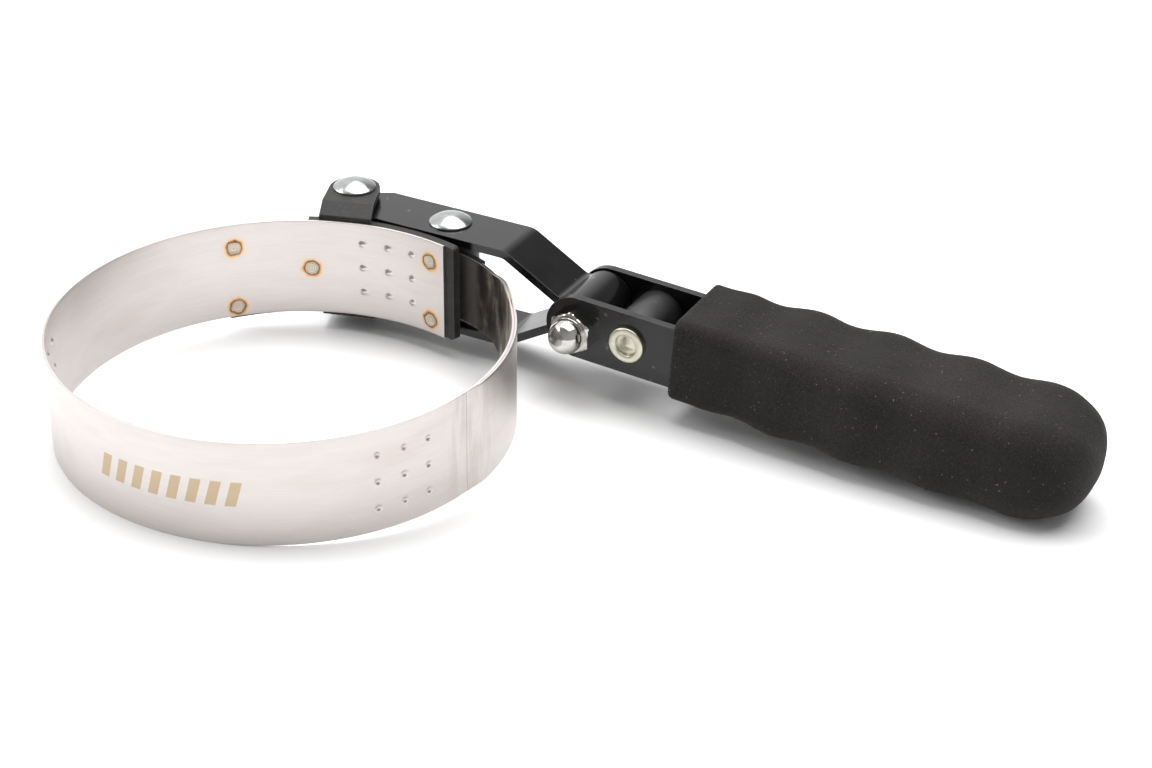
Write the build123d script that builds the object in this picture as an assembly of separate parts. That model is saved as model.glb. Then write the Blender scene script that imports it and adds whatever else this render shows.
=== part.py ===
from build123d import *
import os
from math import sin, cos, tan, atan2, degrees, radians, sqrt, pi

# Swivel-handle strap wrench for spin-on oil filters, 1 in strap.
# Frame: origin on the ring axis at half strap height, +Z along the ring axis,
# +X along the handle, +Y from the ring towards the yoke. Units are mm.

os.makedirs("parts", exist_ok=True)

# ---- strap ring ----
RING_R = 52.4            # inside radius of the gripping ring
STRAP_T = 0.6            # strip thickness
STRAP_H = 25.4           # strip width, 1 in
RING_C = RING_R + STRAP_T / 2
RING_OUT = RING_R + STRAP_T
FLEX_GAP = 0.3           # slot left at each bending line of the strip
TAIL_END = 76.6          # polar angle of the fixed end of the strip, degrees
FLEX_A = 150.0           # bending line beside the welded plate
FLEX_B = 270.0           # bending line at the front of the ring
FLEX_C = 312.0           # bending line before the free end
TAPER_FROM_X = 38.2      # free end starts to narrow here
TAPER_TO_X = 26.5        # free end has its narrow width from here on
NARROW_H = 18.2          # width of the free end between the yoke arms

# ---- pressed dimples ----
DIMPLE_GROUPS = ((95.1, 0.7, 7.5), (215.0, 0.0, 7.0), (333.5, -0.35, 6.9))
DIMPLE_PITCH_Z = 6.6     # each group: polar angle, height, angle between columns
DIMPLE_R = 2.0
DIMPLE_DEEP = 0.2

# ---- yoke ----
YOKE_Y = 62.9            # centre line of the yoke and the handle
TIP_X = -20.9            # pivot of the yoke on the tip bracket
PIN_PITCH = 28.1         # tip pivot to free-end pivot
PIVOT_PITCH = 68.3       # tip pivot to handle pivot
YOKE_W = 15.0
YOKE_T = 2.1
YOKE_OUT = 13.1          # outer face of each arm above the mid plane
YOKE_SLOPE = 30.0
YOKE_BEND_IN = 3.0       # inside radius of the arm bend
YOKE_NECK_OUT = 2.0      # hollow radius at the neck
LOOP_IN = 4.3            # inside radius of the loop round the handle pivot
ARM_END_R = 7.0

# ---- tip bracket ----
PLATE_T = 2.0
PLATE_TIP = 73.4
PLATE_HEEL = 140.3
PLATE_STEP = 115.4
HEEL_H = 24.2            # height of the plate's heel
HEEL_MID = -0.95         # the heel sits a little low
HEEL_TILT = 1.7
EAR_DIR = 107.4          # polar angle of the middle of the ears' root
EAR_ROOT_W = 13.3
EAR_R = 6.4              # round end of each ear
EAR_T = 1.7
EAR_OUT = 16.0           # outer face of each ear above the mid plane
FOLD_Z = 13.7            # each ear leaves the plate here and leans outwards
FOLD_R = 57.5            # and turns level here

# ---- rivets and sleeves ----
PIN_R = 2.5
HEAD_R = 5.35
HEAD_H = 2.3
RUN_GAP = 0.06
TIP_SLEEVE_R = 4.2
END_SLEEVE_R = 3.4
ARM_IN = YOKE_OUT - YOKE_T

# ---- free end bracket and doubler ----
EYE_IN = 4.4
EYE_T = 1.8
EYE_DX = 0.9             # the loose eye sits a little off the rivet at rest
EYE_DY = 0.28
LEAVE = 36.0             # polar angle where the free end leaves the circle
STRAIGHT = 14.0          # straight run before it curls towards the eye
DOUBLER_T = 0.6
DOUBLER_FROM = -7.0
DOUBLER_TO = 64.8        # measured round the centre of the curl
LEG_FROM = 65.5

# ---- handle ----
DROOP = 3.0              # handle hangs this far below the yoke line at rest
BOLT_DX = 0.34           # the bolt lies low in the yoke's loop at rest
BOLT_Z = -1.12
FRAME_IN = 7.9           # inner face of each side of the handle frame
FRAME_T = 2.0
FRAME_OUT = FRAME_IN + FRAME_T
FRAME_H = 16.0
FRAME_BEND_X = 109.6
BOLT_R = 3.0
HEX_AF = 10.0
SPACER_X = 14.0
SPACER_Z = 0.2
SPACER_R = 6.3
STUD_R = 2.5

# ---- grip ----
GRIP_FROM = 26.4
GRIP_TO = 126.7
GRIP_CAP = 108.4
WAVE = 19.7
WAVE_AT = 53.0
WAVE_AMP = 0.37


def save(name, shape):
    shape.label = name
    export_step(shape, "parts/" + name + ".step")


def on_circle(radius, angle):
    return (radius * cos(radians(angle)), radius * sin(radians(angle)))


def sector(r_in, r_out, a_from, a_to, height):
    """Part of an upright tube, centred on the mid plane."""
    outer = CenterArc((0, 0), r_out, a_from, a_to - a_from)
    inner = CenterArc((0, 0), r_in, a_from, a_to - a_from)
    sides = [Line(outer @ 0, inner @ 0), Line(outer @ 1, inner @ 1)]
    face = make_face([outer, inner] + sides)
    return extrude(face, height / 2, both=True)


def dimpled(strip, group):
    """Press one three by three group of dimples inwards into the strip."""
    centre, height, pitch = group
    reach = RING_R - DIMPLE_DEEP + DIMPLE_R
    for col in (-1, 0, 1):
        angle = centre + col * pitch
        x, y = on_circle(reach, angle)
        for row in (-1, 0, 1):
            spot = Pos(x, y, height + row * DIMPLE_PITCH_Z)
            bump = (spot * Sphere(DIMPLE_R)) & Cylinder(RING_R + 0.3, STRAP_H)
            strip = strip + bump
            strip = strip - spot * Sphere(DIMPLE_R - STRAP_T)
    return strip


def domed_rivet(half_length):
    """Round rivet with a low domed head at both ends, axis along Z."""
    ball = (HEAD_R ** 2 + HEAD_H ** 2) / (2 * HEAD_H)
    shank = Cylinder(PIN_R, 2 * half_length)
    disc = Pos(0, 0, half_length + HEAD_H / 2) * Cylinder(HEAD_R, HEAD_H)
    cap = disc & (Pos(0, 0, half_length + HEAD_H - ball) * Sphere(ball))
    return shank + cap + mirror(cap, about=Plane.XY)


# ======== gripping strap, four stretches of one strip ========
half_gap = degrees(FLEX_GAP / 2 / RING_C)
strip = sector(RING_R, RING_OUT, TAIL_END, FLEX_A - half_gap, STRAP_H)
save("grip_strap_fixed_end", dimpled(strip, DIMPLE_GROUPS[0]))

strip = sector(RING_R, RING_OUT, FLEX_A + half_gap, FLEX_B - half_gap, STRAP_H)
save("grip_strap_left", dimpled(strip, DIMPLE_GROUPS[1]))

strip = sector(RING_R, RING_OUT, FLEX_B + half_gap, FLEX_C - half_gap, STRAP_H)
save("grip_strap_front", strip)

# The free end leaves the circle along a straight run, then curls to the eye.
eye_x = TIP_X + PIN_PITCH + EYE_DX
eye_y = YOKE_Y + EYE_DY
eye_mid = EYE_IN + EYE_T / 2
leg_mid = STRAP_T / 2 + EYE_T / 2
ux, uy = on_circle(1.0, LEAVE)
curl_x = RING_C * ux - STRAIGHT * uy
curl_y = RING_C * uy + STRAIGHT * ux
gap_x = eye_x - curl_x
gap_y = eye_y - curl_y
reach = leg_mid + eye_mid
CURL_R = (gap_x ** 2 + gap_y ** 2 - reach ** 2) / (2 * reach - 2 * (gap_x * ux + gap_y * uy))
mid_x = curl_x - CURL_R * ux
mid_y = curl_y - CURL_R * uy
EYE_ANGLE = degrees(atan2(eye_y - mid_y, eye_x - mid_x))


def end_strip(off_in, off_out, a_from, a_to, height):
    """Strip along the free end. Angles up to LEAVE are round the ring axis,
    later ones round the centre of the curl."""
    edges = []
    for off in (off_in, off_out):
        run = []
        if a_from < LEAVE:
            ring = CenterArc((0, 0), RING_C + off, a_from, LEAVE - a_from)
            start = (curl_x + off * ux, curl_y + off * uy)
            run = [ring, Line(ring @ 1, start)]
        start = max(a_from, LEAVE)
        run.append(CenterArc((mid_x, mid_y), CURL_R + off, start, a_to - start))
        edges.append(run)
    ends = [
        Line(edges[0][0] @ 0, edges[1][0] @ 0),
        Line(edges[0][-1] @ 1, edges[1][-1] @ 1),
    ]
    face = make_face(edges[0] + edges[1] + ends)
    return extrude(face, height / 2, both=True)


def narrowed(strip):
    """Trim both long edges where the free end runs between the yoke arms."""
    for side in (1, -1):
        outline = [
            (TAPER_FROM_X, side * STRAP_H / 2),
            (TAPER_TO_X, side * NARROW_H / 2),
            (-20, side * NARROW_H / 2),
            (-20, side * STRAP_H),
            (TAPER_FROM_X, side * STRAP_H),
        ]
        wedge = make_face(Polyline(outline, close=True))
        strip = strip - extrude(Plane.XZ.offset(-55) * wedge, 35, both=True)
    return strip


half = STRAP_T / 2
strip = end_strip(-half, half, FLEX_C - 360 + half_gap, EYE_ANGLE - 2, STRAP_H)
strip = dimpled(strip, DIMPLE_GROUPS[2])
save("grip_strap_free_end", narrowed(strip))

doubler = end_strip(half, half + DOUBLER_T, DOUBLER_FROM, DOUBLER_TO, STRAP_H)
save("free_end_doubler", narrowed(doubler))

# ======== free end bracket, a leg rolled into an eye ========
leg = end_strip(half, half + EYE_T, LEG_FROM, EYE_ANGLE, NARROW_H)
eye_open = 40
eye_out = CenterArc((0, 0), EYE_IN + EYE_T, 0, 360 - eye_open)
eye_in = CenterArc((0, 0), EYE_IN, 0, 360 - eye_open)
eye_ends = [Line(eye_out @ 0, eye_in @ 0), Line(eye_out @ 1, eye_in @ 1)]
eye = extrude(make_face([eye_out, eye_in] + eye_ends), NARROW_H / 2, both=True)
turn = EYE_ANGLE + 180 + eye_open
bracket = leg + Pos(eye_x, eye_y) * Rot(0, 0, turn) * eye
bracket = bracket - Pos(eye_x, eye_y) * Cylinder(EYE_IN, NARROW_H)
save("free_end_bracket", bracket)

# ======== tip bracket: welded plate with two folded ears ========
plate_out = RING_OUT + PLATE_T
plate = sector(RING_OUT, plate_out, PLATE_TIP, PLATE_STEP + 2, STRAP_H)
heel = sector(RING_OUT, plate_out, PLATE_STEP, PLATE_HEEL, 40)
heel_dir = (PLATE_STEP + PLATE_HEEL) / 2
heel_box = Rot(0, 0, heel_dir) * Pos(50, 0, HEEL_MID) * Rot(-HEEL_TILT, 0, 0) * Box(30, 60, HEEL_H)
plate = plate + (heel & heel_box)

# side view of one ear: up from the plate, leaning outwards, then level
pin_angle = degrees(atan2(YOKE_Y, TIP_X))
pin_reach = sqrt(TIP_X ** 2 + YOKE_Y ** 2)
pin_u = pin_reach * cos(radians(pin_angle - EAR_DIR))
pin_v = pin_reach * sin(radians(pin_angle - EAR_DIR))
lean = atan2(EAR_OUT - FOLD_Z, FOLD_R - RING_OUT)
low_cut = EAR_T * tan((pi / 2 - lean) / 2)
high_cut = EAR_T * tan(lean / 2)
side = [
    (RING_OUT, 9),
    (RING_OUT, FOLD_Z),
    (FOLD_R, EAR_OUT),
    (80, EAR_OUT),
    (80, EAR_OUT - EAR_T),
    (FOLD_R + high_cut, EAR_OUT - EAR_T),
    (RING_OUT + EAR_T, FOLD_Z - low_cut),
    (RING_OUT + EAR_T, 9),
]
side = make_face(Polyline(side, close=True))
folds = [v for v in side.vertices() if 10 < v.Z < 20 or 10 < v.Y < 20]
folds = [v for v in folds if v.X < 70]
side = fillet(folds, 0.9)
plan = [
    (RING_R, -EAR_ROOT_W / 2),
    (pin_u, pin_v - EAR_R),
    (pin_u, pin_v + EAR_R),
    (RING_R, EAR_ROOT_W / 2),
]
plan = make_face(Polyline(plan, close=True)) + Pos(pin_u, pin_v) * Circle(EAR_R)
plan = plan - Pos(pin_u, pin_v) * Circle(PIN_R)
ear = extrude(Plane.XZ * side, 30, both=True) & extrude(plan, 30)
ear = Rot(0, 0, EAR_DIR) * ear
ear = ear - Cylinder(RING_OUT, 60)
tip_bracket = plate + ear + mirror(ear, about=Plane.XY)


def is_plate_corner(edge):
    """Short radial edge at a corner of the plate."""
    centre = edge.center()
    angle = degrees(atan2(centre.Y, centre.X))
    at_end = min(abs(angle - PLATE_TIP), abs(angle - PLATE_HEEL)) < 0.05
    return at_end and abs(centre.Z) > 10 and edge.length < PLATE_T + 0.1


tip_bracket = fillet(tip_bracket.edges().filter_by(is_plate_corner), 1.2)
save("tip_bracket", tip_bracket)

tip_at = Pos(TIP_X, YOKE_Y, 0)
save("tip_rivet", tip_at * domed_rivet(EAR_OUT))
sleeve = Cylinder(TIP_SLEEVE_R, 2 * (ARM_IN - 0.3)) - Cylinder(PIN_R + 0.02, 40)
save("tip_rivet_sleeve", tip_at * sleeve)

# ======== yoke: one strip folded round the handle pivot ========
beta = radians(YOKE_SLOPE)
mid_z = YOKE_OUT - YOKE_T / 2
loop_mid = LOOP_IN + YOKE_T / 2
neck_mid = YOKE_NECK_OUT + YOKE_T / 2
bend_mid = YOKE_BEND_IN + YOKE_T / 2
corner_x = PIVOT_PITCH - mid_z / tan(beta)
bend_x = corner_x - bend_mid * tan(beta / 2)
bend_z = mid_z - bend_mid
back = sqrt((loop_mid + neck_mid) ** 2 - neck_mid ** 2)
neck_x = PIVOT_PITCH - back * cos(beta) + neck_mid * sin(beta)
neck_z = back * sin(beta) + neck_mid * cos(beta)
wrap = degrees(atan2(neck_z, neck_x - PIVOT_PITCH))


def yoke_side(offset):
    """One face of the folded strip, offset from its mid line."""
    edges = []
    for s in (1, -1):
        bend = CenterArc((bend_x, s * bend_z), bend_mid + offset, s * 90, -s * YOKE_SLOPE)
        neck_from = 270 - YOKE_SLOPE
        neck_size = wrap + 180 - neck_from
        neck = CenterArc((neck_x, s * neck_z), neck_mid - offset, s * neck_from, s * neck_size)
        start = (-20, s * (mid_z + offset))
        edges += [Line(start, bend @ 0), bend, Line(bend @ 1, neck @ 0), neck]
    edges.append(CenterArc((PIVOT_PITCH, 0), loop_mid + offset, wrap, -2 * wrap))
    return edges


outer_side = yoke_side(YOKE_T / 2)
inner_side = yoke_side(-YOKE_T / 2)
closing = [Line(outer_side[k] @ 0, inner_side[k] @ 0) for k in (0, 4)]
strip = extrude(Plane.XZ * make_face(outer_side + inner_side + closing), YOKE_W / 2, both=True)

# plan of the arms: parallel sides, clipped corners and a round end
half_w = YOKE_W / 2
clip_x, clip_y = on_circle(ARM_END_R, 57.0)
shoulder_x = clip_x + 3.1
shoulder = [
    (0, clip_y),
    (clip_x, clip_y),
    (shoulder_x, half_w),
    (90, half_w),
    (90, -half_w),
    (shoulder_x, -half_w),
    (clip_x, -clip_y),
    (0, -clip_y),
]
plan = make_face(Polyline(shoulder, close=True)) + Circle(ARM_END_R)
yoke = strip & extrude(plan, 30, both=True)
yoke = yoke - Cylinder(PIN_R + RUN_GAP, 60)
yoke = yoke - Pos(PIN_PITCH, 0, 0) * Cylinder(PIN_R, 60)
save("yoke", tip_at * yoke)

end_at = Pos(TIP_X + PIN_PITCH, YOKE_Y, 0)
save("free_end_rivet", end_at * domed_rivet(YOKE_OUT))
sleeve = Cylinder(END_SLEEVE_R, 2 * ARM_IN) - Cylinder(PIN_R + 0.02, 40)
save("free_end_rivet_sleeve", end_at * sleeve)

# ======== handle, drawn level with the bolt at its own origin ========
handle_at = Pos(TIP_X + PIVOT_PITCH + BOLT_DX, YOKE_Y, BOLT_Z) * Rot(0, DROOP, 0)
cross = Rot(90, 0, 0)


def cross_pin(radius, y_from, y_to, x=0.0, z=0.0):
    """Cylinder along Y between two faces."""
    return Pos(x, (y_from + y_to) / 2, z) * cross * Cylinder(radius, abs(y_to - y_from))


def rail_plan(half_width):
    """Plan of a long U, open at the pivot end."""
    straight = Pos(FRAME_BEND_X / 2 - 10, 0) * Rectangle(FRAME_BEND_X + 20, 2 * half_width)
    return straight + Pos(FRAME_BEND_X, 0) * Circle(half_width)


rails = extrude(rail_plan(FRAME_OUT) - rail_plan(FRAME_IN), FRAME_H / 2, both=True)
side_view = Circle(FRAME_H / 2) + Pos(75, 0) * Rectangle(150, FRAME_H)
frame = rails & extrude(Plane.XZ * side_view, 20, both=True)
frame = frame - cross_pin(BOLT_R, -15, 15)
frame = frame - cross_pin(STUD_R, -15, 15, SPACER_X, SPACER_Z)
save("handle_frame", handle_at * frame)

nut_h = 3.6
dome_r = 4.25
neck_len = 1.3
tip_y = -(FRAME_OUT + nut_h + neck_len)
head = Plane.XZ.offset(-FRAME_OUT) * RegularPolygon(HEX_AF / sqrt(3), 6)
head = extrude(head, -4.0)
bolt = head + cross_pin(BOLT_R, tip_y, FRAME_OUT)
save("pivot_bolt", handle_at * bolt)

hexagon = Rot(0, 0, 30) * RegularPolygon(HEX_AF / sqrt(3), 6)
nut = extrude(Plane.XZ.offset(FRAME_OUT) * hexagon, nut_h)
chamfer_ball = Pos(0, -FRAME_OUT + 3.4, 0) * Sphere(8.4)
nut = nut & chamfer_ball
nut = nut + cross_pin(dome_r, -FRAME_OUT - 1, tip_y)
nut = nut + Pos(0, tip_y, 0) * Sphere(dome_r)
nut = nut - cross_pin(BOLT_R, tip_y, 0)
save("pivot_cap_nut", handle_at * nut)

barrel = cross_pin(SPACER_R, -FRAME_IN, FRAME_IN, SPACER_X, SPACER_Z)
barrel = barrel - cross_pin(STUD_R + 0.02, -20, 20, SPACER_X, SPACER_Z)
save("front_spacer", handle_at * barrel)

stud_head_r = 4.55
stud_head_h = 1.3
rim_y = FRAME_OUT + stud_head_h
stud = cross_pin(STUD_R, -FRAME_OUT, FRAME_OUT)
for s in (-1, 1):
    disc = cross_pin(stud_head_r, s * FRAME_OUT, s * rim_y)
    disc = fillet(disc.edges().filter_by_position(Axis.Y, s * rim_y - 0.01, s * rim_y + 0.01), 0.7)
    stud = stud + disc
recess = cross_pin(2.45, -rim_y + 0.9, -rim_y - 1)
point = Plane.XZ.offset(rim_y - 0.9) * Rot(0, 0, 30) * RegularPolygon(2.3, 3)
recess = recess - extrude(point, 0.8, taper=48)
stud = stud - recess
save("front_spacer_rivet", handle_at * Pos(SPACER_X, 0, SPACER_Z) * stud)

# ======== grip: foam sleeve with finger waves and a rounded blind end ========


def smooth(t):
    t = min(max(t, 0.0), 1.0)
    return t * t * (3 - 2 * t)


def grip_section(x):
    """Half width, half height, corner radius and middle height of the grip at x."""
    grow = smooth((x - GRIP_FROM) / 52.6)
    fade = smooth((x - GRIP_FROM - 4.0) / 12.0)
    ripple = WAVE_AMP * fade * cos(2 * pi * (x - WAVE_AT) / WAVE)
    wide = 12.6 + 3.15 * grow + ripple
    tall = 10.75 + 0.9 * grow + ripple
    corner = 3.0 + 4.3 * grow
    middle = 0.5 - 0.2 * grow
    if x > GRIP_CAP:
        t = (x - GRIP_CAP) / (GRIP_TO - GRIP_CAP)
        shrink = sqrt(1 - t ** 4.5)
        wide = wide * shrink
        tall = tall * shrink
        corner = corner + 3.0 * t
    return wide, tall, min(corner, 0.96 * tall), middle


stations = [GRIP_FROM, GRIP_FROM + 4.0]
x = WAVE_AT - WAVE
while x < GRIP_CAP + 0.5:
    if x > GRIP_FROM + 5.0:
        stations.append(x)
    x += WAVE / 4
cap_len = GRIP_TO - GRIP_CAP
for t in (0.35, 0.6, 0.75, 0.86, 0.93, 0.97, 0.99):
    stations.append(GRIP_CAP + t * cap_len)
rings = []
for x in stations:
    wide, tall, corner, middle = grip_section(x)
    across = Plane(origin=(x, 0, middle), x_dir=(0, 1, 0), z_dir=(1, 0, 0))
    rings.append(across * RectangleRounded(2 * wide, 2 * tall, corner))
grip = loft(rings)
grip = grip - extrude(rail_plan(FRAME_OUT), FRAME_H / 2, both=True)
save("grip", handle_at * grip)
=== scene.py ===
import math

import bmesh
import bpy
from mathutils import Matrix, Vector, noise


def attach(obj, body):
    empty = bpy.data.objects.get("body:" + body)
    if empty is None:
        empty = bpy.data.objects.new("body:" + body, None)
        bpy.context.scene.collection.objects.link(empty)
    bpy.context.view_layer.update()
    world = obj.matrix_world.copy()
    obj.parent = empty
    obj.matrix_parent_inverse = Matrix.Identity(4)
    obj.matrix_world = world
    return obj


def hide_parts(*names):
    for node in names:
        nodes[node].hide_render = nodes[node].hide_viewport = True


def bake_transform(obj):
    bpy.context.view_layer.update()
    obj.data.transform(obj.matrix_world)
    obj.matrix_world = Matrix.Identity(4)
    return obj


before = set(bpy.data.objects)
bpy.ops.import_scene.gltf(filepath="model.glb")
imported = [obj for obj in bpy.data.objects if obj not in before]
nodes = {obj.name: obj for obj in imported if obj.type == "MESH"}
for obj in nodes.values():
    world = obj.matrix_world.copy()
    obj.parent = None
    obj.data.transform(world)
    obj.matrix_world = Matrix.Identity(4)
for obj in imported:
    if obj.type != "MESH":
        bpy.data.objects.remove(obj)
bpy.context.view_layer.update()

MM = 0.001

# ---------------------------------------------------------------- sizes, mm
RING_C = 52.7
STRAP_T = 0.6
HALF_H = 12.7            # half the strip's width
HALF_NARROW = 9.1        # the same between the yoke arms
LEAVE = math.radians(36.0)
STRAIGHT = 14.0
EYE = (8.1, 63.18)
LEG_T = 1.8
EYE_MID = 5.3
YOKE_Y = 62.9
TIP_X = -20.9
FREE_X = 7.2
PIVOT_X = 47.4
DROOP = math.radians(3.0)
TAPER_FROM_X = 38.2
TAPER_TO_X = 26.5
TAIL_END = 76.6

# the free end leaves the ring along a straight run, then curls to the eye
ux, uy = math.cos(LEAVE), math.sin(LEAVE)
CURL = (RING_C * ux - STRAIGHT * uy, RING_C * uy + STRAIGHT * ux)
gap = (EYE[0] - CURL[0], EYE[1] - CURL[1])
reach = STRAP_T / 2 + LEG_T / 2 + EYE_MID
CURL_R = (gap[0] ** 2 + gap[1] ** 2 - reach ** 2) / (2 * reach - 2 * (gap[0] * ux + gap[1] * uy))
CURL_MID = (CURL[0] - CURL_R * ux, CURL[1] - CURL_R * uy)
EYE_ANGLE = math.atan2(EYE[1] - CURL_MID[1], EYE[0] - CURL_MID[0])
RING_RUN = RING_C * LEAVE


def on_ring(degrees):
    """Length along the strip from the +X axis to a polar angle."""
    return math.radians(degrees) * RING_C


def on_curl(radians):
    """Length along the strip to an angle round the middle of the curl."""
    return RING_RUN + STRAIGHT + (radians - LEAVE) * CURL_R


# each group of dimples: polar angle, height, angle between columns
DIMPLE_GROUPS = ((95.1, 0.7, 7.5), (215.0, 0.0, 7.0), (-26.5, -0.35, 6.9))
DIMPLE_ROW = 6.6
DIMPLE_R = 1.05
DIMPLE_DEEP = 0.42
DIMPLES = [(a + pitch * i, z + DIMPLE_ROW * j)
           for a, z, pitch in DIMPLE_GROUPS for i in (-1, 0, 1) for j in (-1, 0, 1)]

# spot welds: polar angle, height; from inside, each is a raised rim round a shallow hollow
WELDS = [(137.7, 6.3), (137.7, -10.0), (116.9, -0.4), (81.5, 7.0), (81.5, -9.0)]
WELD_R = 1.75
WELD_RIM = 0.4


# ---------------------------------------------------------------- mesh helpers
def make_object(name, verts, faces, sharp=35.0, attribute=None):
    """A mesh object from points in mm; edges steeper than sharp stay crisp."""
    mesh = bpy.data.meshes.new(name)
    mesh.from_pydata([(x * MM, y * MM, z * MM) for x, y, z in verts], [], faces)
    if attribute:
        layer = mesh.attributes.new("strip", "FLOAT_VECTOR", "POINT")
        layer.data.foreach_set("vector", [c for a in attribute for c in a])
    bm = bmesh.new()
    bm.from_mesh(mesh)
    bmesh.ops.remove_doubles(bm, verts=bm.verts, dist=1e-7)
    bmesh.ops.recalc_face_normals(bm, faces=bm.faces)
    bm.to_mesh(mesh)
    bm.free()
    mesh.shade_smooth()
    mesh.set_sharp_from_angle(angle=math.radians(sharp))
    obj = bpy.data.objects.new(name, mesh)
    bpy.context.scene.collection.objects.link(obj)
    return obj


def tube_faces(rings, size, closed_ends=True):
    """Quads between successive rings of points, with the two end caps."""
    faces = []
    for i in range(rings - 1):
        for j in range(size):
            k = (j + 1) % size
            faces.append((i * size + j, i * size + k, (i + 1) * size + k, (i + 1) * size + j))
    if closed_ends:
        faces.append(tuple(range(size)))
        faces.append(tuple((rings - 1) * size + j for j in range(size)))
    return faces


def spread(lo, hi, coarse, spots, fine):
    """Values from lo to hi, closer together round each (centre, half width) spot."""
    values = [lo]
    while values[-1] < hi - 1e-6:
        here = values[-1]
        step = coarse
        for centre, half in spots:
            if abs(here - centre) < half:
                step = fine
            elif here < centre - half:
                step = min(step, max(centre - half - here, fine))
        values.append(min(here + step, hi))
    return values


def smooth(t):
    t = min(max(t, 0.0), 1.0)
    return t * t * (3 - 2 * t)


# ---------------------------------------------------------------- the strap
def ring_path(s, offset):
    """Point of the round part of the strap, moved outwards by offset."""
    a = s / RING_C
    return (RING_C + offset) * math.cos(a), (RING_C + offset) * math.sin(a)


def free_path(s, offset):
    """Point of the free end: round, then straight, then curled."""
    if s <= RING_RUN:
        return ring_path(s, offset)
    t = s - RING_RUN
    if t <= STRAIGHT:
        return (RING_C + offset) * ux - t * uy, (RING_C + offset) * uy + t * ux
    a = LEAVE + (t - STRAIGHT) / CURL_R
    r = CURL_R + offset
    return CURL_MID[0] + r * math.cos(a), CURL_MID[1] + r * math.sin(a)


def half_height(path, s):
    """Half the strip's width; it narrows before it runs between the yoke arms."""
    x = path(s, 0)[0]
    if path is ring_path or s < 0 or x > TAPER_FROM_X:
        return HALF_H
    t = (TAPER_FROM_X - x) / (TAPER_FROM_X - TAPER_TO_X)
    return HALF_H + (HALF_NARROW - HALF_H) * min(t, 1.0)


def pressed(s, z):
    """How far the strip is pushed inwards at a dimple or a spot weld."""
    depth = 0.0
    for a, zc in DIMPLES:
        d = math.hypot(s - on_ring(a), z - zc)
        if d < DIMPLE_R:
            depth += DIMPLE_DEEP * (math.cos(math.pi * d / DIMPLE_R) + 1) / 2
    for a, zc in WELDS:
        d = math.hypot(s - on_ring(a), z - zc)
        if abs(d - WELD_R) < WELD_RIM:
            depth += 0.10 * math.cos(math.pi * (d - WELD_R) / (2 * WELD_RIM))
        elif d < WELD_R:
            depth -= 0.04
    return depth


def strip_piece(name, path, s_from, s_to, lo, hi, detail=True, edge=0.1, feather=0.0):
    """A closed stretch of strip, lo and hi from its middle; it may start thin."""
    spots_s = []
    spots_z = []
    if detail:
        for a in sorted(set(a for a, _ in DIMPLES)):
            spots_s.append((on_ring(a), 1.2))
        for a in sorted(set(a for a, _ in WELDS)):
            spots_s.append((on_ring(a), 2.5))
        spots_z = [(z, 1.7) for z in (-6.3, 0.2, 6.8)]
    if path is free_path:
        spots_s += [(RING_RUN, 0.8), (RING_RUN + STRAIGHT, 0.8), (RING_RUN + 1.5, 0.8)]
    if feather:
        spots_s.append((s_from, feather))
    stops = spread(s_from, s_to, 0.9, spots_s, 0.22)
    rows = spread(-HALF_H + edge, HALF_H - edge, 0.55, spots_z, 0.22)
    verts, strip = [], []
    for s in stops:
        scale = half_height(path, s) / HALF_H
        thin = 1.0
        if feather:
            thin = 0.1 + 0.9 * smooth((s - s_from) / feather)
        ring = [(z, lo, z) for z in rows]
        for sign in (1, -1):
            corner = [(0.3 * edge, 0.3 * edge), (0.0, edge),
                      (0.0, hi - lo - edge), (0.3 * edge, hi - lo - 0.3 * edge)]
            if sign < 0:
                ring += [(z, hi, z) for z in reversed(rows)]
                corner.reverse()
            for inset, up in corner:
                ring.append((sign * (HALF_H - inset), lo + up, sign * HALF_H))
        for z, off, _ in ring:
            dent = pressed(s, z) if detail else 0.0
            x, y = path(s, lo + (off - lo) * thin - dent)
            verts.append((x, y, z * scale))
            side = 1.0 if off > (lo + hi) / 2 else 0.0
            strip.append((s * 0.1, z * scale * 0.1, side))
    size = len(ring)
    faces = tube_faces(len(stops), size, closed_ends=False)
    n = len(rows)
    for base in (0, len(verts) - size):
        for k in range(n - 1):
            faces.append((base + k, base + k + 1, base + 2 * n + 2 - k, base + 2 * n + 3 - k))
        faces.append(tuple(base + n + j for j in range(-1, 5)))
        faces.append(tuple(base + j for j in (0, 2 * n + 3, 2 * n + 4, 2 * n + 5, 2 * n + 6, 2 * n + 7)))
    return make_object(name, verts, faces, attribute=strip)


half = STRAP_T / 2
SEAM_A = 198.0
SEAM_B = 291.0
strap_a = strip_piece("strap_welded_stretch", ring_path, on_ring(TAIL_END), on_ring(SEAM_A), -half, half)
strap_b = strip_piece("strap_far_left_stretch", ring_path, on_ring(SEAM_A), on_ring(SEAM_B), -half, half)
strap_c = strip_piece("strap_free_stretch", free_path, on_ring(SEAM_B - 360),
                      on_curl(EYE_ANGLE - math.radians(2)), -half, half)
doubler = strip_piece("strap_second_layer", free_path, on_ring(-7.0), on_curl(math.radians(64.8)),
                      half, half + STRAP_T, detail=False, feather=6.0)


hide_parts("grip_strap_fixed_end", "grip_strap_left")
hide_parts("grip_strap_left", "grip_strap_front")
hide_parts("grip_strap_front", "grip_strap_free_end")
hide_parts("free_end_doubler")
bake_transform(strap_a)
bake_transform(strap_b)
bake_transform(strap_c)
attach(doubler, "strap_free_end")


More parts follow.
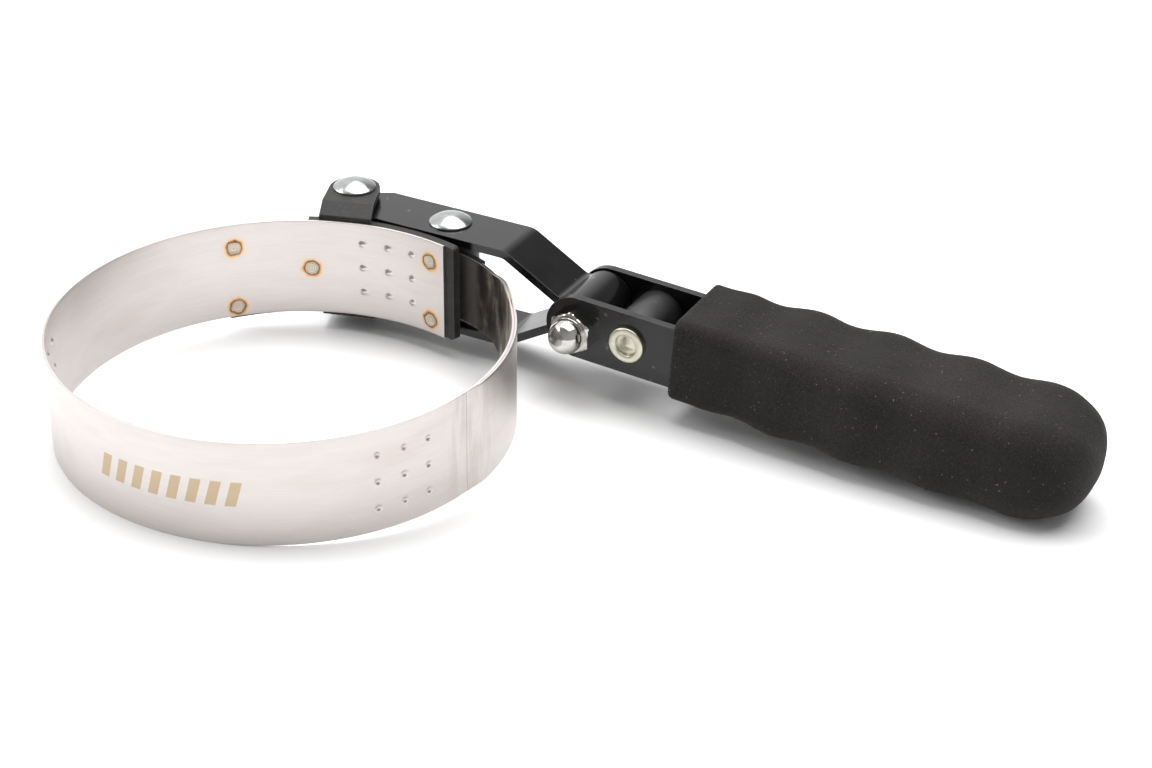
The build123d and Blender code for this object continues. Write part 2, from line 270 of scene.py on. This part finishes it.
# ---------------------------------------------------------------- turned parts
def lathe(name, rings, place, sides=96, sharp=30.0):
    """Closed turned body along Z: rings of (height, radius or radius function)."""
    verts = []
    for h, r in rings:
        for j in range(sides):
            a = 2 * math.pi * j / sides
            radius = r(a) if callable(r) else r
            verts.append((radius * math.cos(a), radius * math.sin(a), h))
    faces = tube_faces(len(rings), sides)
    moved = [place @ Vector(v) for v in verts]
    return make_object(name, [tuple(v) for v in moved], faces, sharp)


def dome_rings(base, radius, rim, height, steps=14):
    """Rings of a low domed head that starts at height base."""
    rings = [(base, radius - 0.12), (base + 0.1, radius), (base + rim - 0.08, radius),
             (base + rim, radius - 0.06)]
    cap = height - rim
    ball = (radius ** 2 + cap ** 2) / (2 * cap)
    for i in range(1, steps):
        r = (radius - 0.08) * math.cos(math.pi / 2 * i / steps)
        rings.append((base + height - ball + math.sqrt(ball ** 2 - r ** 2), r))
    rings.append((base + height, 0.02))
    return rings


def at(x, y, z=0.0):
    return Matrix.Translation((x, y, z))


def flipped():
    return Matrix.Rotation(math.pi, 4, "X")


def joined(name, parts):
    """Several closed bodies as one object."""
    bm = bmesh.new()
    for part in parts:
        bm.from_mesh(part.data)
    mesh = bpy.data.meshes.new(name)
    bm.to_mesh(mesh)
    bm.free()
    obj = bpy.data.objects.new(name, mesh)
    bpy.context.scene.collection.objects.link(obj)
    for part in parts:
        bpy.data.objects.remove(part)
    return obj


def rivet(name, place, base, shank_r=2.5):
    top = lathe("t", dome_rings(base, 5.35, 0.45, 2.3), place)
    low = lathe("l", dome_rings(base, 5.35, 0.45, 2.3), place @ flipped())
    shank = lathe("s", [(-base - 0.2, shank_r), (base + 0.2, shank_r)], place, 48)
    return joined(name, [top, low, shank])


tip_rivet = rivet("tip_rivet_with_heads", at(TIP_X, YOKE_Y), 16.0)
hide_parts("tip_rivet")
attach(tip_rivet, "fixed_end")
free_rivet = rivet("free_end_rivet_with_heads", at(FREE_X, YOKE_Y), 13.1)
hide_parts("free_end_rivet")
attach(free_rivet, "yoke")

# handle pieces are drawn level at the bolt, which lies low in the yoke's loop
handle_place = at(PIVOT_X + 0.34, YOKE_Y, -1.12) @ Matrix.Rotation(DROOP, 4, "Y")
near = Matrix.Rotation(math.pi / 2, 4, "X")
far = Matrix.Rotation(-math.pi / 2, 4, "X")


def hexagon(flats, turn=0.0):
    """Radius of a hexagon at an angle, corners eased by a hair."""
    def radius(a):
        b = (a - turn) % (math.pi / 3) - math.pi / 6
        return min(flats / 2 / math.cos(b), flats / math.sqrt(3) - 0.12)
    return radius


def hex_rings(base, height, flats, turn=0.0):
    """Hexagon whose corners are turned off by a 30 degree cone at the outer end."""
    rings = []
    hexa = hexagon(flats, turn)
    steps = 14
    for i in range(steps + 1):
        h = height * i / steps

        def radius(a, h=h):
            cone = flats / 2 + (height - h) * 1.75 - 0.12
            return min(hexa(a), cone)
        rings.append((base + h, radius))
    return rings


turn = math.radians(30)
hex_part = lathe("hex", hex_rings(9.9, 3.6, 10.0, turn), handle_place @ near, 180, 18.0)
neck = [(13.4, 4.3), (13.6, 4.18), (14.4, 4.2), (14.8, 4.25)]
for i in range(1, 16):
    a = math.pi / 2 * i / 15
    neck.append((14.8 + 4.25 * math.sin(a), 4.25 * math.cos(a) + 0.01))
dome_part = lathe("dome", neck, handle_place @ near, 96)
cap_nut = joined("cap_nut", [hex_part, dome_part])
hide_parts("pivot_cap_nut")
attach(cap_nut, "handle")

head_part = lathe("head", hex_rings(9.9, 4.0, 10.0), handle_place @ far, 180, 18.0)
shank_part = lathe("shank", [(-13.0, 3.0), (10.0, 3.0)], handle_place @ far, 48)
bolt = joined("hex_bolt", [head_part, shank_part])
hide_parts("pivot_bolt")
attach(bolt, "handle")


def recessed_rings(base, height, radius):
    """Flat rivet head with a round hollow that ends in a three-sided point."""
    rings = [(base, radius - 0.05), (base + 0.15, radius), (base + height - 0.45, radius)]
    for i in range(1, 7):
        a = math.pi / 2 * i / 6
        rings.append((base + height - 0.45 + 0.45 * math.sin(a), radius - 0.6 + 0.6 * math.cos(a)))
    top = base + height
    rings += [(top + 0.02, 3.5), (top - 0.02, 3.0), (top - 0.14, 2.78),
              (top - 0.35, 2.66), (top - 0.95, 2.55)]
    for t in (0.0, 0.25, 0.5, 0.75, 0.98):
        def edge(a, t=t):
            b = (a + math.radians(20)) % (2 * math.pi / 3) - math.pi / 3
            flat = 1.2 / math.cos(b)
            return (flat + (2.5 - flat) * 0.45 * (1 - t)) * (1 - t) + 0.02
        rings.append((top - 1.0 + 0.75 * t, edge))
    return rings


spacer_place = handle_place @ at(14.0, 0, 0.2)
stud_near = lathe("near", recessed_rings(9.9, 1.3, 4.55), spacer_place @ near, 120, 40.0)
stud_far = lathe("far", dome_rings(9.9, 4.3, 0.5, 1.3), spacer_place @ far)
stud_shank = lathe("shank", [(-9.95, 2.5), (9.95, 2.5)], spacer_place @ near, 48)
stud = joined("spacer_rivet_with_heads", [stud_near, stud_far, stud_shank])
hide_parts("front_spacer_rivet")
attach(stud, "handle")

barrel_rings = [(-7.9, 5.8), (-7.75, 6.2), (-7.5, 6.3), (7.5, 6.3), (7.75, 6.2), (7.9, 5.8)]
barrel = lathe("spacer_barrel", barrel_rings, spacer_place @ near)
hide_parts("front_spacer")
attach(barrel, "handle")

# ---------------------------------------------------------------- the grip
GRIP_FROM = 26.3
GRIP_TO = 126.8
GRIP_CAP = 108.4
GROW_OVER = 52.6         # length over which it swells to full size
WAVE = 19.7
WAVE_AT = 53.0
WAVE_AMP = 0.39
CAP_POWER = 4.5          # how squarely the closed end is rounded
RING_STEP = 0.9


def grip_section(x):
    """Half width, half height, corner radius and middle height at x."""
    grow = smooth((x - GRIP_FROM) / GROW_OVER)
    fade = smooth((x - GRIP_FROM - 4.0) / 12.0)
    ripple = WAVE_AMP * fade * math.cos(2 * math.pi * (x - WAVE_AT) / WAVE)
    wide = 12.6 + 3.15 * grow + ripple
    tall = 10.75 + 0.9 * grow + ripple
    return wide, tall, 3.0 + 4.3 * grow, 0.5 - 0.2 * grow


def rounded_rectangle(wide, tall, corner, sides):
    """Points of a rounded rectangle, the same number for every size."""
    points = []
    per = sides // 4
    centres = ((1, 1), (-1, 1), (-1, -1), (1, -1))
    for q, (sy, sz) in enumerate(centres):
        cy = sy * (wide - corner)
        cz = sz * (tall - corner)
        ny, nz = centres[(q + 1) % 4]
        ny = ny * (wide - corner)
        nz = nz * (tall - corner)
        arc = per // 2
        for i in range(arc):
            a = math.pi / 2 * (q + i / (arc - 1))
            points.append((cy + corner * math.cos(a), cz + corner * math.sin(a)))
        a = math.pi / 2 * (q + 1)
        for i in range(1, per - arc + 1):
            t = i / (per - arc + 1)
            y = cy + (ny - cy) * t + corner * math.cos(a)
            z = cz + (nz - cz) * t + corner * math.sin(a)
            points.append((y, z))
    return points


def grip_rings():
    rings = []
    lip = 1.1
    wide, tall, corner, mid = grip_section(GRIP_FROM)
    for inset, dx in ((3.0, 0.25), (1.9, 0.05), (1.1, 0.0), (0.55, 0.15), (0.2, 0.45), (0.0, lip)):
        rings.append((GRIP_FROM + dx, wide - inset, tall - inset, max(corner - inset, 1.2), mid))
    x = GRIP_FROM + lip + RING_STEP
    while x < GRIP_CAP:
        rings.append((x,) + grip_section(x))
        x += RING_STEP
    depth = GRIP_TO - GRIP_CAP
    steps = 34
    for i in range(1, steps):
        t = math.sin(math.pi / 2 * i / steps)
        w, h, c, mid = grip_section(GRIP_CAP + t * depth)
        shrink = (1 - t ** CAP_POWER) ** 0.5
        c = min(c + 3.0 * t, 0.97 * h)
        rings.append((GRIP_CAP + t * depth, w * shrink, h * shrink, c * shrink, mid))
    return rings


def build_grip():
    sides = 128
    verts = []
    rings = grip_rings()
    for x, wide, tall, corner, mid in rings:
        for y, z in rounded_rectangle(wide, tall, corner, sides):
            p = Vector((x, y, z + mid))
            lump = noise.noise(p * 0.09) * 0.22 + noise.noise(p * 0.35) * 0.05
            fade = smooth((x - GRIP_FROM) / 4.0)
            d = Vector((0, y, z))
            d.normalize()
            p += d * lump * fade
            verts.append(tuple(handle_place @ p))
    faces = tube_faces(len(rings), sides)
    return make_object("foam_grip", verts, faces, 60.0)


grip = build_grip()
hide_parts("grip")
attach(grip, "handle")

# ---------------------------------------------------------------- bent and pressed CAD parts
for name, width in (("tip_bracket", 0.28), ("yoke", 0.3), ("free_end_bracket", 0.25),
                    ("handle_frame", 0.3), ("tip_rivet_sleeve", 0.15),
                    ("free_end_rivet_sleeve", 0.15)):
    node = nodes[name]
    node.data.shade_smooth()
    weld = node.modifiers.new("weld", "WELD")
    weld.merge_threshold = 0.00001
    flat = node.modifiers.new("flat", "DECIMATE")
    flat.decimate_type = "DISSOLVE"
    flat.angle_limit = math.radians(1.0)
    bevel = node.modifiers.new("bevel", "BEVEL")
    bevel.width = width * MM
    bevel.segments = 3
    bevel.limit_method = "ANGLE"
    bevel.angle_limit = math.radians(40)
    bevel.harden_normals = False
    weighted = node.modifiers.new("weighted", "WEIGHTED_NORMAL")
    weighted.keep_sharp = True


# ---------------------------------------------------------------- materials
class Shader:
    """A principled material and short ways to add and join nodes."""

    def __init__(self, name, color, metallic=0.0, roughness=0.5, **constants):
        self.material = bpy.data.materials.new(name)
        self.material.use_nodes = True
        self.tree = self.material.node_tree
        self.bsdf = self.tree.nodes["Principled BSDF"]
        self.set("Base Color", (*color, 1.0))
        self.set("Metallic", metallic)
        self.set("Roughness", roughness)
        for key, value in constants.items():
            self.set(key.replace("_", " "), value)

    def set(self, socket, value):
        self.bsdf.inputs[socket].default_value = value

    def node(self, kind, settings=None, **inputs):
        made = self.tree.nodes.new("ShaderNode" + kind)
        for key, value in (settings or {}).items():
            setattr(made, key, value)
        for key, value in inputs.items():
            socket = made.inputs[int(key[1:])] if key[0] == "_" else made.inputs[key.replace("_", " ")]
            if isinstance(value, bpy.types.NodeSocket):
                self.tree.links.new(value, socket)
            else:
                socket.default_value = value
        return made

    def math(self, operation, a, b=0.0, c=0.0):
        return self.node("Math", {"operation": operation}, _0=a, _1=b, _2=c).outputs[0]

    def coordinates(self, scale):
        found = self.node("TexCoord").outputs["Object"]
        return self.stretched(found, scale)

    def noise(self, vector, scale, detail=3.0, rough=0.55):
        made = self.node("TexNoise", Vector=vector, Scale=scale, Detail=detail, Roughness=rough)
        return made.outputs["Fac"]

    def ramp(self, value, *stops):
        made = self.node("ValToRGB", Fac=value)
        points = made.color_ramp.elements
        while len(points) < len(stops):
            points.new(0.5)
        for point, (place, color) in zip(points, stops):
            point.position = place
            point.color = (*color, 1.0) if isinstance(color, tuple) else (color, color, color, 1.0)
        return made.outputs["Color"]

    def multiply(self, a, b):
        made = self.node("Mix", {"data_type": "RGBA", "blend_type": "MULTIPLY"}, _0=1.0, _6=a, _7=b)
        return made.outputs[2]

    def band(self, value, low, high, soft):
        """1 between low and high, fading out over soft on both sides."""
        kind = {"interpolation_type": "SMOOTHSTEP"}
        up = self.node("MapRange", kind, _0=value, _1=low - soft, _2=low + soft)
        down = self.node("MapRange", kind, _0=value, _1=high - soft, _2=high + soft)
        return self.math("SUBTRACT", up.outputs[0], down.outputs[0])

    def stretched(self, vector, scale):
        return self.node("Mapping", Vector=vector, Scale=scale).outputs[0]

    def mix(self, factor, a, b):
        made = self.node("Mix", {"data_type": "RGBA"}, _0=factor)
        for socket, value in ((made.inputs[6], a), (made.inputs[7], b)):
            if isinstance(value, bpy.types.NodeSocket):
                self.tree.links.new(value, socket)
            else:
                socket.default_value = (*value, 1.0)
        return made.outputs[2]

    def to(self, socket, value):
        self.tree.links.new(value, self.bsdf.inputs[socket])

    def bump(self, height, strength, distance):
        made = self.node("Bump", Height=height, Strength=strength, Distance=distance * MM)
        self.to("Normal", made.outputs["Normal"])


# The strip attribute holds the length along the strip and the height, both in cm, and
# which face a point is on: 0 inner, 1 outer.
def cm(degrees):
    return 0.1 * on_ring(degrees)


BAR_FROM = cm(-101.5)
BAR_PITCH = 0.44
BAR_COUNT = 7.6
BAR_HALF = 0.3


def painted_reflection_streaks(s, base, place, along):
    """Painted dark reflection: upright dark streaks round where the two layers meet."""
    streak_noise = s.noise(s.stretched(place, (5.0, 0.6, 1.0)), 1.0, 4.0, 0.6)
    near = s.band(along, cm(-13.0), cm(3.0), 0.35)
    reflection_streak = s.math("MULTIPLY", near, s.ramp(streak_noise, (0.42, 0.0), (0.62, 1.0)))
    return s.mix(s.math("MULTIPLY", reflection_streak, 0.38), base, (0.43, 0.37, 0.33))


def scorched(s, base, place, along, inner):
    """Burnt inner side of the free end."""
    burnt = s.math("MULTIPLY", s.band(along, cm(36.0), 6.7, 0.35), inner)
    patch = s.noise(s.stretched(place, (0.9, 0.45, 1.0)), 2.3, 4.0, 0.6)
    patch = s.math("ADD", patch, s.math("MULTIPLY", s.math("SUBTRACT", 4.9, along), 0.085))
    soot = s.ramp(patch, (0.34, (0.035, 0.03, 0.026)), (0.47, (0.12, 0.10, 0.085)),
                  (0.56, (0.34, 0.30, 0.24)), (0.72, (0.62, 0.57, 0.47)))
    return s.mix(burnt, base, soot)


def heat_ringed(s, base, place, inner):
    """Heat rings of the spot welds on the inner side."""
    wobble = s.math("MULTIPLY", s.math("SUBTRACT", s.noise(place, 6.0, 3.0), 0.5), 0.12)
    nearest = None
    for a, z in WELDS:
        centre = (cm(a), z * 0.1, 0.0)
        d = s.node("VectorMath", {"operation": "DISTANCE"}, _0=place, _1=centre).outputs["Value"]
        nearest = d if nearest is None else s.math("MINIMUM", nearest, d)
    nearest = s.math("ADD", nearest, wobble)
    lines = s.math("SINE", s.math("MULTIPLY", nearest, 110.0))
    core = s.mix(s.math("MULTIPLY_ADD", lines, 0.35, 0.4), (0.60, 0.55, 0.47), (0.34, 0.28, 0.21))
    heat = s.ramp(nearest, (0.15, (0.44, 0.36, 0.28)), (0.18, (0.17, 0.085, 0.06)),
                  (0.20, (0.34, 0.16, 0.07)), (0.225, (0.60, 0.38, 0.18)),
                  (0.27, (0.68, 0.54, 0.40)), (0.36, (0.62, 0.56, 0.56)))
    heat = s.mix(s.ramp(nearest, (0.14, 0.0), (0.17, 1.0)), core, heat)
    mask = s.ramp(nearest, (0.25, 1.0), (0.42, 0.0))
    return s.mix(s.math("MULTIPLY", mask, inner), base, heat)


def bar_mask(s, along, up, inner):
    """1 on the plain slanted bars etched into the outer side."""
    slant = s.math("SUBTRACT", along, s.math("MULTIPLY", up, 0.28))
    phase = s.math("FRACT", s.math("DIVIDE", s.math("SUBTRACT", slant, BAR_FROM), BAR_PITCH))
    bar = s.math("LESS_THAN", phase, 0.55)
    begun = s.math("GREATER_THAN", slant, BAR_FROM)
    over = s.math("LESS_THAN", slant, BAR_FROM + BAR_COUNT * BAR_PITCH)
    tall = s.math("LESS_THAN", s.math("ABSOLUTE", up), BAR_HALF)
    outer = s.math("SUBTRACT", 1.0, inner)
    inside = s.math("MULTIPLY", begun, over)
    return s.math("MULTIPLY", s.math("MULTIPLY", bar, inside), s.math("MULTIPLY", tall, outer))


def strap_material():
    s = Shader("brushed_stainless", (0.6, 0.58, 0.56), 1.0, 0.3, Anisotropic=0.45)
    stored = s.node("Attribute", {"attribute_name": "strip"}).outputs["Vector"]
    split = s.node("SeparateXYZ", Vector=stored)
    up, side = split.outputs[1], split.outputs[2]
    past = s.math("GREATER_THAN", split.outputs[0], cm(240.0))
    along = s.math("SUBTRACT", split.outputs[0], s.math("MULTIPLY", past, cm(360.0)))
    place = s.node("CombineXYZ", _0=along, _1=up, _2=side).outputs[0]
    inner = s.math("LESS_THAN", side, 0.5)
    fine = s.noise(s.stretched(place, (0.35, 14.0, 1.0)), 2.0, 5.0, 0.7)
    blotch = s.noise(place, 0.8, 4.0, 0.6)
    broad = s.noise(s.stretched(place, (0.3, 1.0, 1.0)), 1.0, 3.0)
    base = s.ramp(fine, (0.25, (0.59, 0.555, 0.54)), (0.75, (0.66, 0.63, 0.61)))
    tint = s.ramp(broad, (0.3, (0.95, 0.91, 0.90)), (0.5, (1.0, 0.99, 0.98)), (0.7, (0.95, 0.94, 0.96)))
    base = s.multiply(base, tint)
    # painted dark reflection, as upright streaks round the second layer's start
    base = painted_reflection_streaks(s, base, place, along)
    base = scorched(s, base, place, along, inner)
    base = heat_ringed(s, base, place, inner)
    mark = bar_mask(s, along, up, inner)
    s.to("Base Color", s.mix(s.math("MULTIPLY", mark, 0.85), base, (0.50, 0.38, 0.24)))
    rough = s.math("ADD", s.math("MULTIPLY", fine, 0.10), s.math("MULTIPLY", blotch, 0.14))
    rough = s.math("ADD", rough, s.math("MULTIPLY", mark, 0.15))
    s.to("Roughness", s.math("ADD", rough, 0.2))
    tangent = s.node("Tangent", {"direction_type": "RADIAL", "axis": "Z"})
    s.to("Tangent", tangent.outputs[0])
    s.bump(fine, 0.06, 0.04)
    return s.material


def edge_wear_and_highlight_mask(s, radius):
    """Up to 1 at edges of the piece, 0 on its flats; it marks edges for wear and for a painted edge
    highlight.
    """
    soft = s.node("Bevel", {"samples": 6}, Radius=radius * MM).outputs[0]
    flat = s.node("NewGeometry").outputs["Normal"]
    dot = s.node("VectorMath", {"operation": "DOT_PRODUCT"}, _0=soft, _1=flat).outputs["Value"]
    return s.ramp(s.math("SUBTRACT", 1.0, dot), (0.02, 0.0), (0.22, 1.0))


def paint_material(name, color, rough, edge_wear_and_highlight=0.5):
    s = Shader(name, color, 0.0, rough)
    place = s.coordinates((1, 1, 1))
    cloud = s.noise(place, 90.0, 3.0)
    shade = s.ramp(cloud, (0.35, tuple(c * 0.75 for c in color)), (0.7, tuple(c * 1.4 for c in color)))
    chips = s.ramp(s.noise(place, 260.0, 4.0, 0.7), (0.45, 0.15), (0.68, 1.0))
    # edges lightened where chips fall: partly edge wear, partly a painted edge highlight
    edge = s.math("MULTIPLY", s.math("MULTIPLY", edge_wear_and_highlight_mask(s, 0.45), chips), edge_wear_and_highlight)
    dust = s.ramp(s.noise(place, 420.0, 2.0, 0.5), (0.70, 0.0), (0.76, 1.0))
    edge = s.math("MAXIMUM", edge, s.math("MULTIPLY", dust, 0.25))
    s.to("Base Color", s.mix(edge, shade, (0.30, 0.28, 0.25)))
    s.to("Roughness", s.math("ADD", s.math("MULTIPLY", cloud, 0.14), rough - 0.07))
    s.bump(s.noise(place, 900.0, 3.0), 0.08, 0.03)
    return s.material


def oxide_material():
    s = Shader("black_oxide_plate", (0.03, 0.028, 0.027), 0.0, 0.5)
    place = s.coordinates((1, 1, 1))
    grain = s.noise(place, 1500.0, 4.0, 0.7)
    cloud = s.noise(place, 240.0, 4.0, 0.65)
    dark = s.ramp(cloud, (0.3, (0.010, 0.009, 0.009)), (0.6, (0.020, 0.018, 0.017)),
                  (0.8, (0.045, 0.042, 0.038)))
    flecks_and_edge_highlight = s.ramp(grain, (0.60, 0.0), (0.70, 1.0))
    scratch = s.noise(s.coordinates((1, 1, 12)), 300.0, 3.0, 0.6)
    scratch = s.ramp(scratch, (0.66, 0.0), (0.74, 1.0))
    flecks_and_edge_highlight = s.math("MAXIMUM", s.math("MULTIPLY", flecks_and_edge_highlight, 0.18), s.math("MULTIPLY", scratch, 0.21))
    # every edge lightened: partly edge wear, partly a painted edge highlight
    flecks_and_edge_highlight = s.math("MAXIMUM", flecks_and_edge_highlight, s.math("MULTIPLY", edge_wear_and_highlight_mask(s, 0.4), 0.3))
    s.to("Base Color", s.mix(flecks_and_edge_highlight, dark, (0.22, 0.21, 0.19)))
    s.to("Roughness", s.math("ADD", s.math("MULTIPLY", cloud, 0.3), 0.30))
    s.set("Specular IOR Level", 0.3)
    s.bump(grain, 0.5, 0.10)
    return s.material


def metal_material(name, color, rough, vary):
    s = Shader(name, color, 1.0, rough)
    place = s.coordinates((1, 1, 1))
    cloud = s.noise(place, 450.0, 4.0, 0.6)
    s.to("Base Color", s.ramp(cloud, (0.3, tuple(c * 0.78 for c in color)), (0.7, color)))
    s.to("Roughness", s.math("ADD", s.math("MULTIPLY", cloud, vary), rough - vary / 2))
    s.bump(s.noise(place, 800.0, 3.0), 0.08, 0.05)
    return s.material


def foam_material():
    s = Shader("black_foam", (0.03, 0.028, 0.027), 0.0, 0.95, Sheen_Weight=0.05, Sheen_Roughness=0.5)
    s.set("Specular IOR Level", 0.25)
    place = s.coordinates((1, 1, 1))
    pores = s.noise(place, 2600.0, 3.0, 0.7)
    lumps = s.noise(place, 900.0, 3.0, 0.6)
    cloud = s.noise(place, 60.0, 3.0)
    base = s.ramp(cloud, (0.3, (0.0165, 0.0140, 0.0132)), (0.7, (0.0225, 0.0194, 0.0185)))
    # painted shade in the pores: darker where the pore bump is low, lighter where it is high
    base = s.multiply(base, s.ramp(pores, (0.35, 0.5), (0.62, 1.25)))
    dust = s.ramp(s.noise(place, 1500.0, 1.0), (0.73, 0.0), (0.78, 1.0))
    s.to("Base Color", s.mix(s.math("MULTIPLY", dust, 0.55), base, (0.22, 0.17, 0.13)))
    height = s.math("ADD", s.math("MULTIPLY", pores, 0.6), s.math("MULTIPLY", lumps, 0.5))
    s.bump(height, 0.8, 0.25)
    return s.material


stainless = strap_material()
black_paint = paint_material("semi_gloss_black_paint", (0.004, 0.004, 0.0045), 0.20)
spacer_black = paint_material("satin_black_spacer", (0.010, 0.010, 0.010), 0.40, 0.3)
oxide = oxide_material()
zinc = metal_material("bright_zinc", (0.46, 0.475, 0.47), 0.20, 0.16)
nickel = metal_material("bright_nickel", (0.66, 0.64, 0.61), 0.13, 0.08)
yellow_zinc = metal_material("yellowish_zinc", (0.70, 0.68, 0.56), 0.32, 0.16)
foam = foam_material()


def finish_piece(piece, material):
    piece.data.materials.clear()
    piece.data.materials.append(material)


for piece in (strap_a, strap_b, strap_c, doubler):
    finish_piece(piece, stainless)
finish_piece(tip_rivet, zinc)
finish_piece(free_rivet, zinc)
finish_piece(cap_nut, nickel)
finish_piece(bolt, zinc)
finish_piece(stud, yellow_zinc)
finish_piece(barrel, spacer_black)
finish_piece(grip, foam)
for name, material in (("tip_bracket", oxide), ("free_end_bracket", oxide), ("yoke", black_paint),
                       ("handle_frame", black_paint), ("tip_rivet_sleeve", spacer_black),
                       ("free_end_rivet_sleeve", spacer_black)):
    nodes[name].data.materials.clear()
    nodes[name].data.materials.append(material)


# ---------------------------------------------------------------- floor, light and camera
def floor_height(x, y):
    """The wrench lies on the ring's near edge, the tip rivet and the grip's end."""
    return -12.72 - 0.0072 * (x - 20.0) - 0.0545 * (y + 49.3)


FLOOR_HALF = 2500.0
corners = [(FLOOR_HALF * i, FLOOR_HALF * j) for i, j in ((-1, -1), (1, -1), (1, 1), (-1, 1))]
mesh = bpy.data.meshes.new("floor")
mesh.from_pydata([(x * MM, y * MM, floor_height(x, y) * MM) for x, y in corners], [], [(0, 1, 2, 3)])
floor = bpy.data.objects.new("floor", mesh)
bpy.context.scene.collection.objects.link(floor)
white = Shader("white_table", (0.9, 0.9, 0.9), 0.0, 0.6)
tone = white.noise(white.coordinates((1, 1, 1)), 3.0)
white.to("Base Color", white.ramp(tone, (0.0, (0.90, 0.90, 0.90)), (1.0, (0.92, 0.92, 0.92))))
floor.data.materials.append(white.material)

scene = bpy.context.scene
scene.view_settings.view_transform = "Standard"
world = bpy.data.worlds.new("studio")
world.use_nodes = True
scene.world = world
tree = world.node_tree
background = tree.nodes["Background"]
direction = tree.nodes.new("ShaderNodeTexCoord")
facing = tree.nodes.new("ShaderNodeVectorMath")
facing.operation = "DOT_PRODUCT"
facing.inputs[1].default_value = (-0.84, 0.45, 0.30)
sky = tree.nodes.new("ShaderNodeValToRGB")
sky.color_ramp.elements.new(0.4)
sky.color_ramp.elements.new(0.6)
sky_levels = ((0.15, 0.34), (0.55, 0.22), (0.72, 0.20), (0.92, 0.95))
for point, (place, level) in zip(sky.color_ramp.elements, sky_levels):
    point.position = place
    point.color = (level, level, level, 1.0)
spread_out = tree.nodes.new("ShaderNodeMapRange")
spread_out.inputs["From Min"].default_value = -1.0
spread_out.inputs["From Max"].default_value = 1.0
tree.links.new(direction.outputs["Generated"], facing.inputs[0])
tree.links.new(facing.outputs["Value"], spread_out.inputs["Value"])
tree.links.new(spread_out.outputs[0], sky.inputs["Fac"])
tree.links.new(sky.outputs["Color"], background.inputs["Color"])
background.inputs["Strength"].default_value = 1.3


def area_light(name, place, target, size_m, watts):
    data = bpy.data.lights.new(name, "AREA")
    data.shape = "RECTANGLE"
    data.size, data.size_y = size_m
    data.energy = watts
    lamp = bpy.data.objects.new(name, data)
    lamp.location = place
    aim = Vector(target) - Vector(place)
    lamp.rotation_euler = aim.to_track_quat("-Z", "Y").to_euler()
    scene.collection.objects.link(lamp)


area_light("overhead_softbox", (0.1, 0.35, 1.1), (0.05, 0.05, 0.0), (1.4, 1.0), 20.0)
area_light("left_softbox", (-0.9, -0.35, 0.7), (0.0, 0.0, 0.0), (0.8, 0.8), 6.0)

camera_data = bpy.data.cameras.new("camera")
camera_data.lens = 68.44
camera_data.sensor_width = 36.0
camera = bpy.data.objects.new("camera", camera_data)
roll = math.radians(1.102)
right = Vector((0.8870, 0.4617, 0.0)).normalized()
look = Vector((-0.4000, 0.7684, -0.4996)).normalized()
up = right.cross(look)
side = right * math.cos(roll) + up * math.sin(roll)
top = up * math.cos(roll) - right * math.sin(roll)
turned = Matrix((side, top, -look)).transposed()
camera.matrix_world = Matrix.Translation((0.26116, -0.35617, 0.24952)) @ turned.to_4x4()
scene.collection.objects.link(camera)
scene.camera = camera

bpy.context.view_layer.update()
